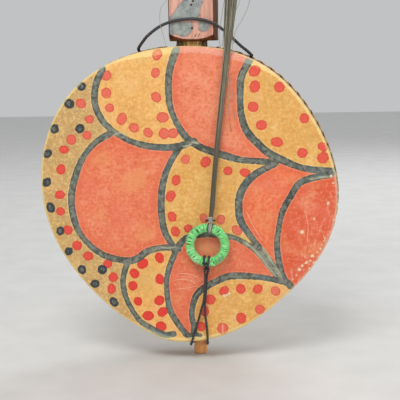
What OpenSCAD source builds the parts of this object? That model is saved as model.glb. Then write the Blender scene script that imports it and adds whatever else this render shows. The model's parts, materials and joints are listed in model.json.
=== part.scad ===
// One-string fiddle: a round skin-covered body on a wooden stick, a hair string beside the neck,
// a yarn-wrapped tail ring and one peg through the side of the head.
// X runs to the right, Y to the back and Z up the neck. The origin is at the foot of the spike.

/* [Body] */
// Mean radius of the round body
body_r = 147.7; // [140:0.1:155]
// Depth of the body from skin to skin
body_depth = 60; // [50:1:70]
// How far the body's centre sits to the right of the neck's axis
body_x = -8; // [-12:1:4]
// Height of the body's centre above the foot of the spike
body_z = 172; // [170:1:176]
// Thickness of the bent hoop
hoop_t = 7; // [5:0.5:9]
// Thickness of the skins
skin_t = 1.2; // [0.8:0.1:1.5]
// How far each skin is turned down over the hoop
skin_lap = 18; // [14:1:20]

/* [Lacing] */
// Turns of thong that would go round the whole body
lace_count = 76; // [76:1:76]
// Width of the thong
lace_w = 2.4; // [1.6:0.1:2.6]
// Thickness of the thong
lace_t = 1.2; // [0.8:0.1:1.2]

/* [Neck] */
// Width of the neck
neck_w = 48; // [44:1:50]
// Thickness of the neck from front to back
neck_t = 28; // [26:1:30]
// Height of the neck's lower end
neck_foot_z = 321.6; // [321:0.2:323]
// Height of the top of the head
neck_top_z = 662; // [640:1:700]
// Radius of the spike's foot
spike_r = 6.7; // [6:0.1:7]
// Radius of the spike where it goes through the hoop
shaft_r = 7; // [6.4:0.1:7.4]

/* [Peg] */
// Height of the peg
peg_z = 590; // [560:1:610]
// Radius of the peg in the head
peg_r = 6; // [5:0.1:7]
// Radius of the peg's knob
knob_r = 15; // [12:0.5:16]
// Thickness of the peg's knob
knob_t = 11; // [9:0.5:13]
// Radial play of the peg in its hole
peg_play = 0.05; // [0.02:0.01:0.1]

/* [Tail] */
// Radius of the tail ring at the middle of its tube
ring_r = 17.7; // [17:0.1:19]
// Radius of the yarn-wrapped tube
ring_tube_r = 4.3; // [4:0.05:4.4]
// Radius of the iron wire in it
ring_core_r = 1.6; // [1.2:0.1:2]
// Radius of the tail cord
tail_cord_r = 1.2; // [1:0.05:1.25]
// Radius of the strap cord
strap_r = 1.6; // [1.4:0.05:1.7]

/* [Hidden] */
$fn = 48;
eps = 0.05;
front_y = -body_depth / 2;
back_y = body_depth / 2;
outline_step = 3;
scarf_a = 202;
scarf_gap = 0.4;
lace_hole_y = 14;
lace_step = 180 / lace_count;
strap_hole_a = [46 * lace_step, 27 * lace_step];
foot_h = 7;
groove_r = 6.2;
tang_w = 23;
tang_t = 13;
tang_foot_z = 34;
tang_full_z = 290;
head_r = neck_w / 2;
chamfer_r = 48.2;
chamfer_rise = 1;
neck_nail_at = [[1, 360.5], [-0.8, 357], [-0.5, 334]];
neck_nail_r = 0.8;
hoop_nail_r = 0.9;
winding_x = [46, 74];
winding_r = 9;
ring_at = [13.1, -39.1, 119.8];
ring_tilt = 4.8;
hitch_x = [10, 13.6];
binding_x = [15.2, 17.2];
binding_r = 0.5;
binding_bore = 1.8;
binding_wall = 0.8;

// The body's outline is a circle with a few slow waves in it, as a hand-bent hoop has.
function rim_r(a) = body_r + 2.3 * cos(2 * a + 90) + 3.05 * cos(3 * a - 78)
    + 1.84 * cos(4 * a + 38) + 1.58 * cos(5 * a + 69);
function rim_point(a, out = 0) = [body_x, body_z] + (rim_r(a) + out) * [cos(a), sin(a)];
function outline(out = 0) = [for (a = [0:outline_step:359]) rim_point(a, out)];
// How far the outline's outward direction is turned from the radius at angle a.
function rim_turn(a) = atan((rim_r(a + 1) - rim_r(a - 1)) * 90 / PI / rim_r(a));
// The point straight out of the rim at angle a, by that much, at depth y.
function off_rim(a, out, y = 0) = let (p = rim_point(a), t = a - rim_turn(a))
    [p[0] + out * cos(t), y, p[1] + out * sin(t)];

function unit(v) = v / norm(v);
function tangent(p, i) = unit(p[min(i + 1, len(p) - 1)] - p[max(i - 1, 0)]);
function carry(n, t) = unit(n - (n * t) * t);
function normals(p, n, i = 0, done = []) = i == len(p) ? done
    : let (m = carry(n, tangent(p, i))) normals(p, m, i + 1, concat(done, [m]));
// A smooth curve through the points p, with k steps between neighbours.
function curve_at(a, b, c, d, t) = 0.5 * (2 * b + (c - a) * t
    + (2 * a - 5 * b + 4 * c - d) * t * t + (3 * b - a - 3 * c + d) * t * t * t);
function smooth(p, k) = concat(
    [for (i = [0:len(p) - 2]) for (j = [0:k - 1])
        curve_at(p[max(i - 1, 0)], p[i], p[i + 1], p[min(i + 2, len(p) - 1)], j / k)],
    [p[len(p) - 1]]);
function arc(c, r, a0, a1, n) = [for (i = [0:n]) let (a = a0 + (a1 - a0) * i / n) c + r * [cos(a), sin(a)]];

// The string's centreline with its half width and half depth: peg, past the neck, rim, ring.
string_route = [
    [60, -10.7, 591, 12, 1.1], [52, -18, 500, 9.5, 1.3], [44, -25.5, 410, 7.6, 1.6],
    [40, -29.3, 360, 6, 1.9], [37.6, -31.6, 334, 4.8, 2.1], [36.2, -32.9, 318, 3.6, 2.3],
    [34.4, -33.4, 302, 3, 2.4], [29.7, -35, 263, 2.6, 2.4], [25.1, -36.5, 224, 2.4, 2.4],
    [20.9, -38.1, 184.5, 2.3, 2.3], [18.9, -38.9, 162, 2.3, 2.3], [17.9, -39.4, 153, 2.2, 2.2],
    [16.9, -40, 147.9, 1.7, 1.7], [16.5, -40.4, 143.1, 1.7, 1.7]
];
tail_route = [
    [9.6, -38.4, 94.3], [10, -38.7, 90], [9.9, -38, 84], [9.1, -37.1, 73], [7.9, -36, 62.7], [6, -35.1, 56],
    [3.1, -33.9, 46], [-0.2, -32.9, 35.7], [-2.9, -32.2, 27.3], [-4.4, -31.8, 21.5], [-6.2, -30, 16.6],
    [-7.6, -22, 14.6], [-8.2, -10, 12],
    [-7.7, 0, 9.6], [-5.5, 5.5, 9.3], [0, 7.7, 9.3], [5.5, 5.5, 9.3], [7.7, 0, 9.5],
    [8.8, -10, 11.6], [9.7, -22, 14.2], [10.2, -30, 16.4], [10.6, -31.8, 21.2], [10.4, -32.1, 27],
    [9.9, -32.6, 35.8], [8.9, -33.2, 46], [8.7, -33.6, 56], [9.3, -33.9, 62.7], [10.4, -35, 73],
    [11.2, -35.8, 84], [12, -36.3, 89.5], [13.3, -37.2, 94.3]
];
// The strap goes from a knot inside the hoop through a hole, in front of the neck, and back in on the right.
strap_in_hole = [[-12.6, 0], [-9, 0], [-5, 0], [-1, 0], [1.2, -0.4], [2.8, -2.4]];
strap_route = concat(
    [for (k = [0:5]) off_rim(strap_hole_a[0], strap_in_hole[k][0], strap_in_hole[k][1])],
    [[-55.8, -6.6, 315.6], [-51.4, -11, 321], [-45, -14.6, 327.6], [-34, -15.7, 335.6], [-22, -15.8, 340.6],
        [-7, -15.8, 343], [8, -15.8, 342.4], [20, -15.8, 338.6], [30, -15.4, 332.4], [39.5, -14.6, 323.8],
        [47, -12.6, 316.4], [53.2, -8, 311]],
    [for (k = [5:-1:0]) off_rim(strap_hole_a[1], strap_in_hole[k][0], strap_in_hole[k][1])]);

module slab(y0, y1) {
    translate([0, y1, 0]) rotate([90, 0, 0]) linear_extrude(y1 - y0) children();
}

// Moves its children out of the rim at angle a, by that much, with +X pointing straight out.
module at_rim(a, out = 0) {
    translate([body_x, 0, body_z]) rotate([0, -a, 0]) translate([rim_r(a), 0, 0])
        rotate([0, rim_turn(a), 0]) translate([out, 0, 0]) children();
}

// A closed tube through the points p: ra and rb are its half width and half depth at each point.
module tube(p, ra, rb, first, sides = 8) {
    n = normals(p, first);
    last = (len(p) - 1) * sides;
    points = [for (i = [0:len(p) - 1]) let (t = tangent(p, i), m = n[i], b = cross(t, m))
        for (j = [0:sides - 1]) p[i] + ra[i] * cos(360 * j / sides) * m + rb[i] * sin(360 * j / sides) * b];
    faces = concat(
        [[for (j = [sides - 1:-1:0]) j]],
        [[for (j = [0:sides - 1]) last + j]],
        [for (i = [0:len(p) - 2]) for (j = [0:sides - 1]) let (k = (j + 1) % sides)
            each [[i * sides + j, i * sides + k, (i + 1) * sides + k],
                [i * sides + j, (i + 1) * sides + k, (i + 1) * sides + j]]]);
    polyhedron(points = points, faces = [for (f = faces) [for (i = [len(f) - 1:-1:0]) f[i]]]);
}

module round_tube(route, r, first, k) {
    p = smooth(route, k);
    all_r = [for (q = p) r];
    tube(p, all_r, all_r, first);
}

// Puts its children's +Z along the line from p to q.
module along(p, q) {
    d = q - p;
    translate(p) rotate([0, acos(d[2] / norm(d)), atan2(d[1], d[0])]) children();
}

module hoop() {
    color([0.55, 0.38, 0.22]) difference() {
        slab(front_y + skin_t, back_y - skin_t) difference() {
            polygon(outline(-skin_t));
            polygon(outline(-skin_t - hoop_t));
        }
        translate([-tang_w / 2 - eps, -tang_t / 2 - eps, body_z])
            cube([tang_w + 2 * eps, tang_t + 2 + eps, 200]);
        translate([0, 0, 8]) cylinder(r = shaft_r + eps, h = 40);
        at_rim(scarf_a, -skin_t - hoop_t / 2) rotate([0, 55, 0]) cube([40, 80, scarf_gap], center = true);
        for (a = strap_hole_a) at_rim(a, -12) rotate([0, 90, 0]) cylinder(r = strap_r + 0.4, h = 20);
        hoop_nail_places() rotate([0, -90, 0]) cylinder(r = hoop_nail_r + eps, h = 12);
    }
}

// Four nails across the scarf, with +X pointing out of the hoop's surface.
module hoop_nail_places() {
    for (side = [-1, 1]) for (y = [-5, 5])
        at_rim(scarf_a + 1.6 * side, -skin_t) translate([0, y, 0]) children();
}

module hoop_nails() {
    color([0.25, 0.22, 0.2]) hoop_nail_places() {
        rotate([0, -90, 0]) cylinder(r = hoop_nail_r, h = hoop_t - 1);
        rotate([0, 90, 0]) cylinder(r1 = 2.2, r2 = 1.5, h = 0.9);
    }
}

module skin(y_face, inward) {
    y_in = y_face + inward * skin_t;
    y_lap = y_face + inward * skin_lap;
    slab(min(y_face, y_in), max(y_face, y_in)) polygon(outline());
    slab(min(y_in, y_lap), max(y_in, y_lap)) difference() {
        polygon(outline());
        polygon(outline(-skin_t));
    }
}

module front_skin() {
    color([0.86, 0.5, 0.3]) skin(front_y, 1);
}

module back_skin() {
    color([0.82, 0.7, 0.5]) skin(back_y, -1);
}

// The thong zigzags between the skins' edges and stops short of the neck and the spike.
module lacing() {
    slant = atan(body_r * lace_step * PI / 180 / (2 * lace_hole_y));
    leg = 2 * lace_hole_y / cos(slant);
    color([0.7, 0.55, 0.36]) for (run = [[-34, 32, slant], [41, 111, -slant]]) for (i = [run[0]:run[1]])
        at_rim((i + 0.5) * lace_step, 0.1 + lace_t / 2)
            rotate([i % 2 == 0 ? run[2] : -run[2], 0, 0]) cube([lace_t, leg, lace_w], center = true);
}

// The handle's section: flat at the front, rounded at the back, and pared down at the front's right.
module neck_section() {
    w = neck_w / 2;
    t = neck_t / 2;
    polygon(concat(
        arc([-w + 1.5, -t + 1.5], 1.5, 180, 270, 4), arc([w - 3.5, -t + 1], 1, 270, 345, 3),
        [[w, -t + 10]], arc([w - 8, t - 8], 8, 0, 90, 10), arc([-w + 8, t - 8], 8, 90, 180, 10)));
}

// The spike: a foot, a groove for the tail cord, and the shaft that goes through the hoop.
module spike() {
    top = tang_foot_z + 20;
    rotate_extrude() polygon([
        [0, -1.5], [spike_r - 1.5, -1.5], [spike_r, 0], [spike_r, foot_h], [groove_r, foot_h + 0.6],
        [groove_r, foot_h + 4], [shaft_r, foot_h + 5.2], [shaft_r, top], [0, top]]);
}

module neck() {
    w = neck_w / 2;
    color([0.72, 0.45, 0.36]) difference() {
        union() {
            intersection() {
                translate([0, 0, neck_foot_z]) linear_extrude(neck_top_z - neck_foot_z) neck_section();
                slab(-neck_t, neck_t) polygon(concat(
                    [[-w, neck_foot_z - 1], [w, neck_foot_z - 1]],
                    arc([0, neck_top_z - head_r], head_r, 0, 180, 36)));
            }
            slab(-tang_t / 2, tang_t / 2) polygon([
                [-groove_r, tang_foot_z], [groove_r, tang_foot_z], [tang_w / 2, tang_full_z],
                [tang_w / 2, neck_foot_z + 1], [-tang_w / 2, neck_foot_z + 1], [-tang_w / 2, tang_full_z]]);
            spike();
        }
        difference() {
            translate([-neck_w, -neck_t, neck_foot_z - 5]) cube([2 * neck_w, neck_t / 2 + 8, 45]);
            translate([0, -neck_t / 2 - 1, neck_foot_z + chamfer_rise + chamfer_r]) rotate([-90, 0, 0])
                cylinder(r1 = chamfer_r - 1, r2 = chamfer_r + 9, h = 10, $fn = 96);
        }
        translate([-neck_w, 0, peg_z]) rotate([0, 90, 0]) cylinder(r = peg_r + peg_play, h = 2 * neck_w);
        for (n = neck_nail_at) translate([n[0], -neck_t, n[1]]) rotate([-90, 0, 0])
            cylinder(r = neck_nail_r + eps, h = neck_t);
    }
}

module neck_nails() {
    color([0.2, 0.17, 0.16]) for (n = neck_nail_at) translate([n[0], -neck_t / 2, n[1]]) {
        translate([0, 0.1, 0]) rotate([-90, 0, 0]) cylinder(r = neck_nail_r, h = 12);
        translate([0, -0.5, 0]) rotate([-90, 0, 0]) cylinder(r1 = 0.9, r2 = 1.3, h = 0.5);
    }
}

// A strip of hide round the tang, doubled where its ends meet on the left.
module neck_collar() {
    low = rim_point(90)[1] - skin_t + 0.3;
    color([0.72, 0.53, 0.26]) translate([0, 0, low]) linear_extrude(neck_foot_z - low - 0.2) difference() {
        polygon(concat(
            arc([-15.5, -6.4], 2, 180, 270, 4), arc([10.8, -6.4], 2, 270, 360, 4),
            arc([10.8, 6.4], 2, 0, 90, 4), arc([-15.5, 6.4], 2, 90, 180, 4)));
        square([tang_w + 0.1, tang_t + 0.1], center = true);
    }
}

module collar_stitches() {
    color([0.12, 0.1, 0.09]) for (x = [-15, -11, -7.5, 6, 9.5]) for (side = [-1, 1])
        translate([x, side * 8.95, 318.8]) rotate([0, x % 2 == 0 ? 20 : -20, 0])
            cylinder(r = 0.45, h = 3.4, center = true);
}

// A thin wedge that tightens the tang in the hoop's mortise.
module tang_wedge() {
    back = tang_t / 2;
    color([0.6, 0.44, 0.27]) translate([-tang_w / 2 + 1, 0, 0]) rotate([90, 0, 90]) linear_extrude(tang_w - 2)
        polygon([[back + eps, 315], [back + 1.9, 315], [back + 0.9, 303], [back + eps, 303]]);
}

module string() {
    p = smooth(string_route, 3);
    centre = [for (q = p) [q[0], q[1], q[2]]];
    color([0.47, 0.45, 0.37]) tube(centre, [for (q = p) q[3]], [for (q = p) q[4]], [1, 0, 0]);
}

// Thread wound round the end of the hair, with two turns round the ring.
module string_binding() {
    low = string_route[len(string_route) - 1];
    high = string_route[len(string_route) - 2];
    p = [low[0], low[1], low[2]];
    q = [high[0], high[1], high[2]];
    color([0.55, 0.56, 0.56]) {
        along(p, q) difference() {
            cylinder(r = binding_bore + binding_wall, h = norm(q - p));
            translate([0, 0, -1]) cylinder(r = binding_bore, h = 8);
        }
        for (x = binding_x) ring_wrap_turn(x, binding_r, 1);
    }
}

// One turn of cord of radius r round the ring's tube at x, at its top (up = 1) or its bottom (up = -1).
module ring_wrap_turn(x, r, up) {
    across = x - ring_at[0];
    rise = up * sqrt(ring_r * ring_r - across * across);
    translate(ring_at) rotate([ring_tilt, 0, 0]) translate([across, 0, rise])
        rotate([0, 90 + up * asin(across / ring_r), 0])
            rotate_extrude() translate([ring_tube_r + 0.1 + r, 0]) circle(r = r, $fn = 16);
}

module ring_body(r_out, r_in) {
    translate(ring_at) rotate([90 + ring_tilt, 0, 0]) rotate_extrude($fn = 96)
        translate([ring_r, 0]) difference() {
            circle(r = r_out);
            if (r_in > 0) circle(r = r_in);
        }
}

module ring_core() {
    color([0.35, 0.33, 0.32]) ring_body(ring_core_r - 0.02, 0);
}

module ring_wrap() {
    color([0.35, 0.82, 0.42]) ring_body(ring_tube_r, ring_core_r);
}

module tail_hitch() {
    color([0.1, 0.1, 0.11]) for (x = hitch_x) ring_wrap_turn(x, tail_cord_r, -1);
}

module tail_cord() {
    color([0.1, 0.1, 0.11]) round_tube(tail_route, tail_cord_r, [1, 0, 0], 2);
}

module strap_cord() {
    color([0.13, 0.13, 0.14]) round_tube(strap_route, strap_r, [0, 1, 0], 3);
}

// Stopper knots inside the hoop, each one round the cord's end.
module strap_knots() {
    color([0.13, 0.13, 0.14]) for (a = strap_hole_a) at_rim(a, -skin_t - hoop_t - 4.6) difference() {
        sphere(r = 4);
        rotate([0, 90, 0]) cylinder(r = strap_r + eps, h = 5);
    }
}

// The peg: a round flattened knob on the left, the shaft through the head, and a bead at the right end.
module tuning_peg() {
    color([0.45, 0.28, 0.16]) translate([0, 0, peg_z]) rotate([0, 90, 0]) union() {
        translate([0, 0, -neck_w / 2 - 14]) cylinder(r = peg_r, h = neck_w + 70);
        translate([0, 0, -neck_w / 2 - 12]) cylinder(r1 = 6, r2 = 8.5, h = 10);
        translate([0, 0, -neck_w / 2 - 26]) intersection() {
            rotate([90, 0, 0]) cylinder(r = knob_r, h = knob_t, center = true);
            sphere(r = knob_r + 1, $fn = 64);
        }
        translate([0, 0, 76]) rotate_extrude()
            polygon(concat([[0, 0]], arc([5, 3], 3, -90, 90, 8), [[0, 6]]));
    }
}

module string_winding() {
    color([0.47, 0.45, 0.37]) translate([0, 0, peg_z]) rotate([0, 90, 0]) difference() {
        translate([0, 0, winding_x[0]]) cylinder(r = winding_r, h = winding_x[1] - winding_x[0]);
        cylinder(r = peg_r + 0.02, h = 120);
    }
}

hoop();
hoop_nails();
front_skin();
back_skin();
lacing();
neck();
neck_nails();
neck_collar();
collar_stitches();
tang_wedge();
string();
string_binding();
ring_core();
ring_wrap();
tail_hitch();
tail_cord();
strap_cord();
strap_knots();
tuning_peg();
string_winding();
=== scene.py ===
"""A one-string fiddle: painted skin body, flat neck, hair string, yarn-wrapped tail ring and strap cord.

Lengths are in millimetres in the row frame (X right, Y back, Z up) until a mesh is made, which is in metres.
"""

import json
import math

import bmesh
import bpy
import numpy as np
from mathutils import Matrix, Vector


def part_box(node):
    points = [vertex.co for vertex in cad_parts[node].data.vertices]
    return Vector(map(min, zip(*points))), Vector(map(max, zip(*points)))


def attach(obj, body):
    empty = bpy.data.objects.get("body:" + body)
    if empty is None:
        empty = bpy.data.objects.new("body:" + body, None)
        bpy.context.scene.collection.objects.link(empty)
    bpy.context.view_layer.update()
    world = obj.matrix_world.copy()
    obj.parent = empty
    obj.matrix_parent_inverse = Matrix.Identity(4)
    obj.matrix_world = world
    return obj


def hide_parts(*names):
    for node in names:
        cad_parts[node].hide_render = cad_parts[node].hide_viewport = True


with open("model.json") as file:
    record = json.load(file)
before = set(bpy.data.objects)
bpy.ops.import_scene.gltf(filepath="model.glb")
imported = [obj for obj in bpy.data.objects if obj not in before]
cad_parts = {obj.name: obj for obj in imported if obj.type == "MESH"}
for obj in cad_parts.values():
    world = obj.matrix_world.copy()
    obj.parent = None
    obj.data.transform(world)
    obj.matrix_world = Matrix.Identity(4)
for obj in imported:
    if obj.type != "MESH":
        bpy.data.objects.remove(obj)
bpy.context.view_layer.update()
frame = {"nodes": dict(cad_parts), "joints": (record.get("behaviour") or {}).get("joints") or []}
NODES = frame["nodes"]
BODY = "fiddle"
PEG = "peg"
MM = 0.001

# ---------------------------------------------------------------- dimensions

BODY_AT = np.array([-8.0, 172.0])  # the body's centre, X and Z
FRONT_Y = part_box("front_skin")[0].y / MM
BACK_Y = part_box("back_skin")[1].y / MM
LAP = (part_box("front_skin")[1].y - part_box("front_skin")[0].y) / MM
SKIN_T = 1.2
SKIN_GAP = 0.3  # from the front of the CAD skin to the middle of the visible one
BODY_R = 148.0
# radius of the skin where it turns over the hoop, and what is added to it at the top
RIM_ROUND = 3.0
RIM_ROUND_TOP = 3.2
LACE_COUNT = 76
LACE_STEP = math.pi / LACE_COUNT
SCARF_ANGLE = 202.0
NECK_LOW_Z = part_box("neck")[0].z / MM
PEG_Z = frame["joints"][0]["pos_m"][2] / MM

# ---------------------------------------------------------------- camera, light and floor

EYE_AZIMUTH = math.radians(6.0)
EYE_ELEVATION = math.radians(8.0)
EYE_ROLL = math.radians(1.2)
EYE_DISTANCE = 1100.0
EYE_FIELD = 400.0
EYE_TARGET = np.array([5.6, FRONT_Y, 163.9])


def make_camera():
    back = np.array([
        math.sin(EYE_AZIMUTH) * math.cos(EYE_ELEVATION),
        -math.cos(EYE_AZIMUTH) * math.cos(EYE_ELEVATION),
        math.sin(EYE_ELEVATION),
    ])
    camera = bpy.data.objects.new("camera", bpy.data.cameras.new("camera"))
    bpy.context.scene.collection.objects.link(camera)
    camera.location = (EYE_TARGET + back * EYE_DISTANCE) * MM
    turn = Vector(-back).to_track_quat("-Z", "Y").to_matrix().to_4x4()
    camera.rotation_euler = (turn @ Matrix.Rotation(-EYE_ROLL, 4, "Z")).to_euler()
    camera.data.sensor_width = 36.0
    camera.data.lens = 36.0 * EYE_DISTANCE / EYE_FIELD
    camera.data.clip_start = 0.01
    camera.data.clip_end = 50.0
    bpy.context.scene.camera = camera


def area_light(name, at, aim, size, power, colour=(1.0, 1.0, 1.0)):
    lamp = bpy.data.lights.new(name, "AREA")
    lamp.shape = "DISK"
    lamp.size = size
    lamp.energy = power
    lamp.color = colour
    light = bpy.data.objects.new(name, lamp)
    bpy.context.scene.collection.objects.link(light)
    light.location = at
    light.rotation_euler = (Vector(aim) - Vector(at)).to_track_quat("-Z", "Y").to_euler()


def make_studio():
    world = bpy.data.worlds.new("studio")
    world.use_nodes = True
    background = world.node_tree.nodes["Background"]
    background.inputs["Color"].default_value = (0.86, 0.87, 0.88, 1.0)
    background.inputs["Strength"].default_value = 0.62
    bpy.context.scene.world = world
    bpy.context.scene.view_settings.view_transform = "Standard"
    area_light("key", (-0.25, -1.5, 1.9), (0.0, 0.0, 0.25), 1.0, 25.0, (1.0, 0.985, 0.96))
    area_light("fill", (1.4, -1.6, 0.5), (0.0, 0.0, 0.2), 1.4, 7.0)
    area_light("back", (0.6, 1.6, 1.4), (0.0, 0.0, 0.3), 1.0, 12.0)
    bpy.ops.mesh.primitive_plane_add(size=8.0, location=(0.0, 0.0, NECK_LOW_Z * MM))
    floor = bpy.context.object
    floor.name = "floor"
    look = Look("floor", 0.75)
    look.finish(look.noise(0.02, 4).ramp((0.3, (0.66, 0.66, 0.65)), (0.7, (0.72, 0.72, 0.71))))
    floor.data.materials.append(LOOKS["floor"])


# ---------------------------------------------------------------- shader helpers

LOOKS = {}


def rgb(r, g, b):
    """A colour given as 0 to 255 in sRGB, as the shader's linear values."""
    shares = (r / 255, g / 255, b / 255)
    return tuple(v / 12.92 if v <= 0.04045 else ((v + 0.055) / 1.055) ** 2.4 for v in shares)


class Field:
    """One output of a look's shader nodes, with arithmetic."""

    def __init__(self, look, socket):
        self.look = look
        self.socket = socket

    def calc(self, operation, other=0.0):
        return self.look.node("Math", {0: self, 1: other}, operation=operation)

    def __add__(self, other):
        return self.calc("ADD", other)

    def __sub__(self, other):
        return self.calc("SUBTRACT", other)

    def __rsub__(self, other):
        return self.look.node("Math", {0: other, 1: self}, operation="SUBTRACT")

    def __mul__(self, other):
        return self.calc("MULTIPLY", other)

    def __abs__(self):
        return self.calc("ABSOLUTE")

    def step(self, start, end):
        """0 at start and 1 at end, smoothly, whichever is the larger."""
        low, high, first, last = (start, end, 0.0, 1.0) if start < end else (end, start, 1.0, 0.0)
        inputs = {"Value": self, "From Min": low, "From Max": high, "To Min": first, "To Max": last}
        return self.look.node("MapRange", inputs, "Result", interpolation_type="SMOOTHSTEP")

    def jitter(self, by, reach):
        """Itself, moved by up to half of reach either way."""
        return self + (by - 0.5) * reach

    def ramp(self, *stops):
        """A colour from stops of position and colour."""
        node = self.look.nt.nodes.new("ShaderNodeValToRGB")
        self.look.put(node.inputs[0], self)
        elements = node.color_ramp.elements
        while len(elements) < len(stops):
            elements.new(0.5)
        for element, (at, colour) in zip(elements, stops):
            element.position = at
            element.color = (*colour, 1.0)
        return Field(self.look, node.outputs[0])


class Look:
    """A material with one Principled shader; sockets are its fixed values, and at is in millimetres."""

    def __init__(self, name, roughness, **sockets):
        material = bpy.data.materials.new(name)
        LOOKS[name] = material
        material.use_nodes = True
        self.nt = material.node_tree
        self.shader = self.nt.nodes["Principled BSDF"]
        self.put(self.shader.inputs["Roughness"], roughness)
        for key, value in sockets.items():
            self.put(self.shader.inputs[key.replace("_", " ")], value)
        self.at = self.node("VectorMath", {0: self.node("TexCoord", {}, "Object"), "Scale": 1.0 / MM},
                            operation="SCALE")

    def put(self, socket, value):
        """Links a field to the socket, and sets it to anything else."""
        if isinstance(value, Field):
            self.nt.links.new(value.socket, socket)
        elif hasattr(socket.default_value, "__len__") and len(socket.default_value) == 4:
            socket.default_value = (*value[:3], 1.0)
        else:
            socket.default_value = value

    def node(self, kind, inputs, out=0, **settings):
        """One output of a new shader node."""
        node = self.nt.nodes.new("ShaderNode" + kind)
        for key, value in settings.items():
            setattr(node, key, value)
        for key, value in inputs.items():
            self.put(node.inputs[key], value)
        return Field(self, node.outputs[out])

    def attribute(self, name, out="Fac"):
        return self.node("Attribute", {}, out, attribute_name=name)

    def split(self):
        return [self.node("SeparateXYZ", {0: self.at}, k) for k in range(3)]

    def stretched(self, scale, turn=(0, 0, 0)):
        turn = [math.radians(t) for t in turn]
        return self.node("Mapping", {"Vector": self.at, "Scale": scale, "Rotation": turn})

    def noise(self, scale, detail=3.0, roughness=0.55, distortion=0.0, at=None):
        inputs = {"Vector": at or self.at, "Scale": scale, "Detail": detail, "Roughness": roughness,
                  "Distortion": distortion}
        return self.node("TexNoise", inputs, "Fac")

    def layers(self, colour, *over):
        """The colour with others over it, each one a share and a colour."""
        for share, other in over:
            colour = self.node("Mix", {0: share, 6: colour, 7: other}, 2, data_type="RGBA")
        return colour

    def finish(self, colour, height=None, distance=0.0):
        """Sets the colour, and a height from 0 to 1 that stands distance millimetres."""
        self.put(self.shader.inputs["Base Color"], colour)
        if height:
            bump = self.node("Bump", {"Height": height, "Distance": distance * MM})
            self.put(self.shader.inputs["Normal"], bump)


# ---------------------------------------------------------------- mesh helpers


def unit(v):
    return v / np.linalg.norm(v, axis=-1, keepdims=True)


def fade(x, start, end):
    """0 at start and 1 at end, in a straight line."""
    return np.clip((x - start) / (end - start), 0, 1)


def circle(count):
    return 2 * math.pi * np.arange(count) / count


def add_piece(name, mesh, look, replaces=None, body=BODY, **attributes):
    """A visible piece. Each attribute is one number, or one colour, a point."""
    for key, values in attributes.items():
        values = np.asarray(values, np.float32)
        if values.ndim == 2:
            layer = mesh.attributes.new(key, "FLOAT_COLOR", "POINT")
            layer.data.foreach_set("color", np.c_[values, np.ones(len(values))].astype(np.float32).ravel())
        else:
            layer = mesh.attributes.new(key, "FLOAT", "POINT")
            layer.data.foreach_set("value", values)
    mesh.materials.clear()
    mesh.materials.append(LOOKS[look])
    obj = bpy.data.objects.new(name, mesh)
    bpy.context.scene.collection.objects.link(obj)
    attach(obj, body)
    if replaces:
        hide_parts(replaces)
    return obj


def add_parts(name, parts, look, replaces=None, tones=None, tone_share=None, **more):
    """A piece from parts, each one its points in millimetres and its faces; tones is one number a part."""
    faces, start = [], 0
    for p, part_faces in parts:
        faces += [[v + start for v in face] for face in part_faces]
        start += len(p)
    points = np.concatenate([p for p, _ in parts])
    if tones is not None:
        share = tone_share(points) if tone_share else 1
        more["tone"] = np.repeat(tones, [len(p) for p, _ in parts]) * share
    mesh = bpy.data.meshes.new(name)
    mesh.from_pydata((points * MM).tolist(), [], faces)
    mesh.update()
    mesh.polygons.foreach_set("use_smooth", [True] * len(mesh.polygons))
    return add_piece(name, mesh, look, replaces, **more)


def smooth_line(points, steps):
    """A smooth curve through the points, with that many steps between neighbours."""
    p = np.asarray(points, float)
    p = np.concatenate([p[:1], p, p[-1:]])
    t = (np.arange(steps) / steps)[:, None]
    out = []
    for a, b, c, d in zip(p[:-3], p[1:-2], p[2:-1], p[3:]):
        out.append(0.5 * (
            2 * b + (c - a) * t + (2 * a - 5 * b + 4 * c - d) * t**2 + (3 * b - a - 3 * c + d) * t**3
        ))
    return np.concatenate(out + [p[-2:-1]])


def walked(p):
    """How far along the line each point is."""
    return np.concatenate([[0], np.cumsum(np.linalg.norm(np.diff(p[:, :3], axis=0), axis=1))])


def even_line(points, spacing):
    """The line again, with points that far apart."""
    p = np.asarray(points, float)
    along = walked(p)
    at = np.linspace(0, along[-1], max(3, int(along[-1] / spacing) + 1))
    return np.stack([np.interp(at, along, p[:, k]) for k in range(p.shape[1])], axis=1)


def line_frames(p, first):
    """Two cross directions at each point, carried along without twist."""
    t = unit(np.gradient(p, axis=0))
    n = np.zeros_like(p)
    side = np.asarray(first, float)
    for i in range(len(p)):
        side = unit(side - (side @ t[i]) * t[i])
        n[i] = side
    return n, np.cross(t, n)


def ring_faces(rings, sides, closed=False):
    """Faces between rings of points; closed joins the last ring to the first."""
    faces = []
    for i in range(rings if closed else rings - 1):
        here, ahead = i * sides, (i + 1) % rings * sides
        for j in range(sides):
            k = (j + 1) % sides
            faces.append((here + j, here + k, ahead + k, ahead + j))
    return faces


def tube_faces(rings, sides, closed=False):
    """The same, with an end face at each end unless it is closed."""
    faces = ring_faces(rings, sides, closed)
    if not closed:
        faces.append(range(sides - 1, -1, -1))
        faces.append(range((rings - 1) * sides, rings * sides))
    return faces


def tube(p, radius, sides, first=(0.0, 1.0, 0.13), closed=False):
    """The points and faces of a tube; radius is a number, or one for each ring and side."""
    n, b = line_frames(p, first)
    a = circle(sides)[:, None]
    r = np.broadcast_to(radius, (len(p), sides))[..., None]
    points = p[:, None] + r * (np.cos(a) * n[:, None] + np.sin(a) * b[:, None])
    return points.reshape(-1, 3), tube_faces(len(p), sides, closed)


def rope(p, radius, sides, plies, pitch, depth, **more):
    """A tube with the surface of twisted plies."""
    phase = plies * (circle(sides)[None] - 2 * math.pi * walked(p)[:, None] / pitch) / 2
    return tube(p, radius * (1 - depth + depth * np.abs(np.cos(phase))), sides, **more)


# ---------------------------------------------------------------- the body's outline

OUTLINE_ORDER = 8


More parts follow.
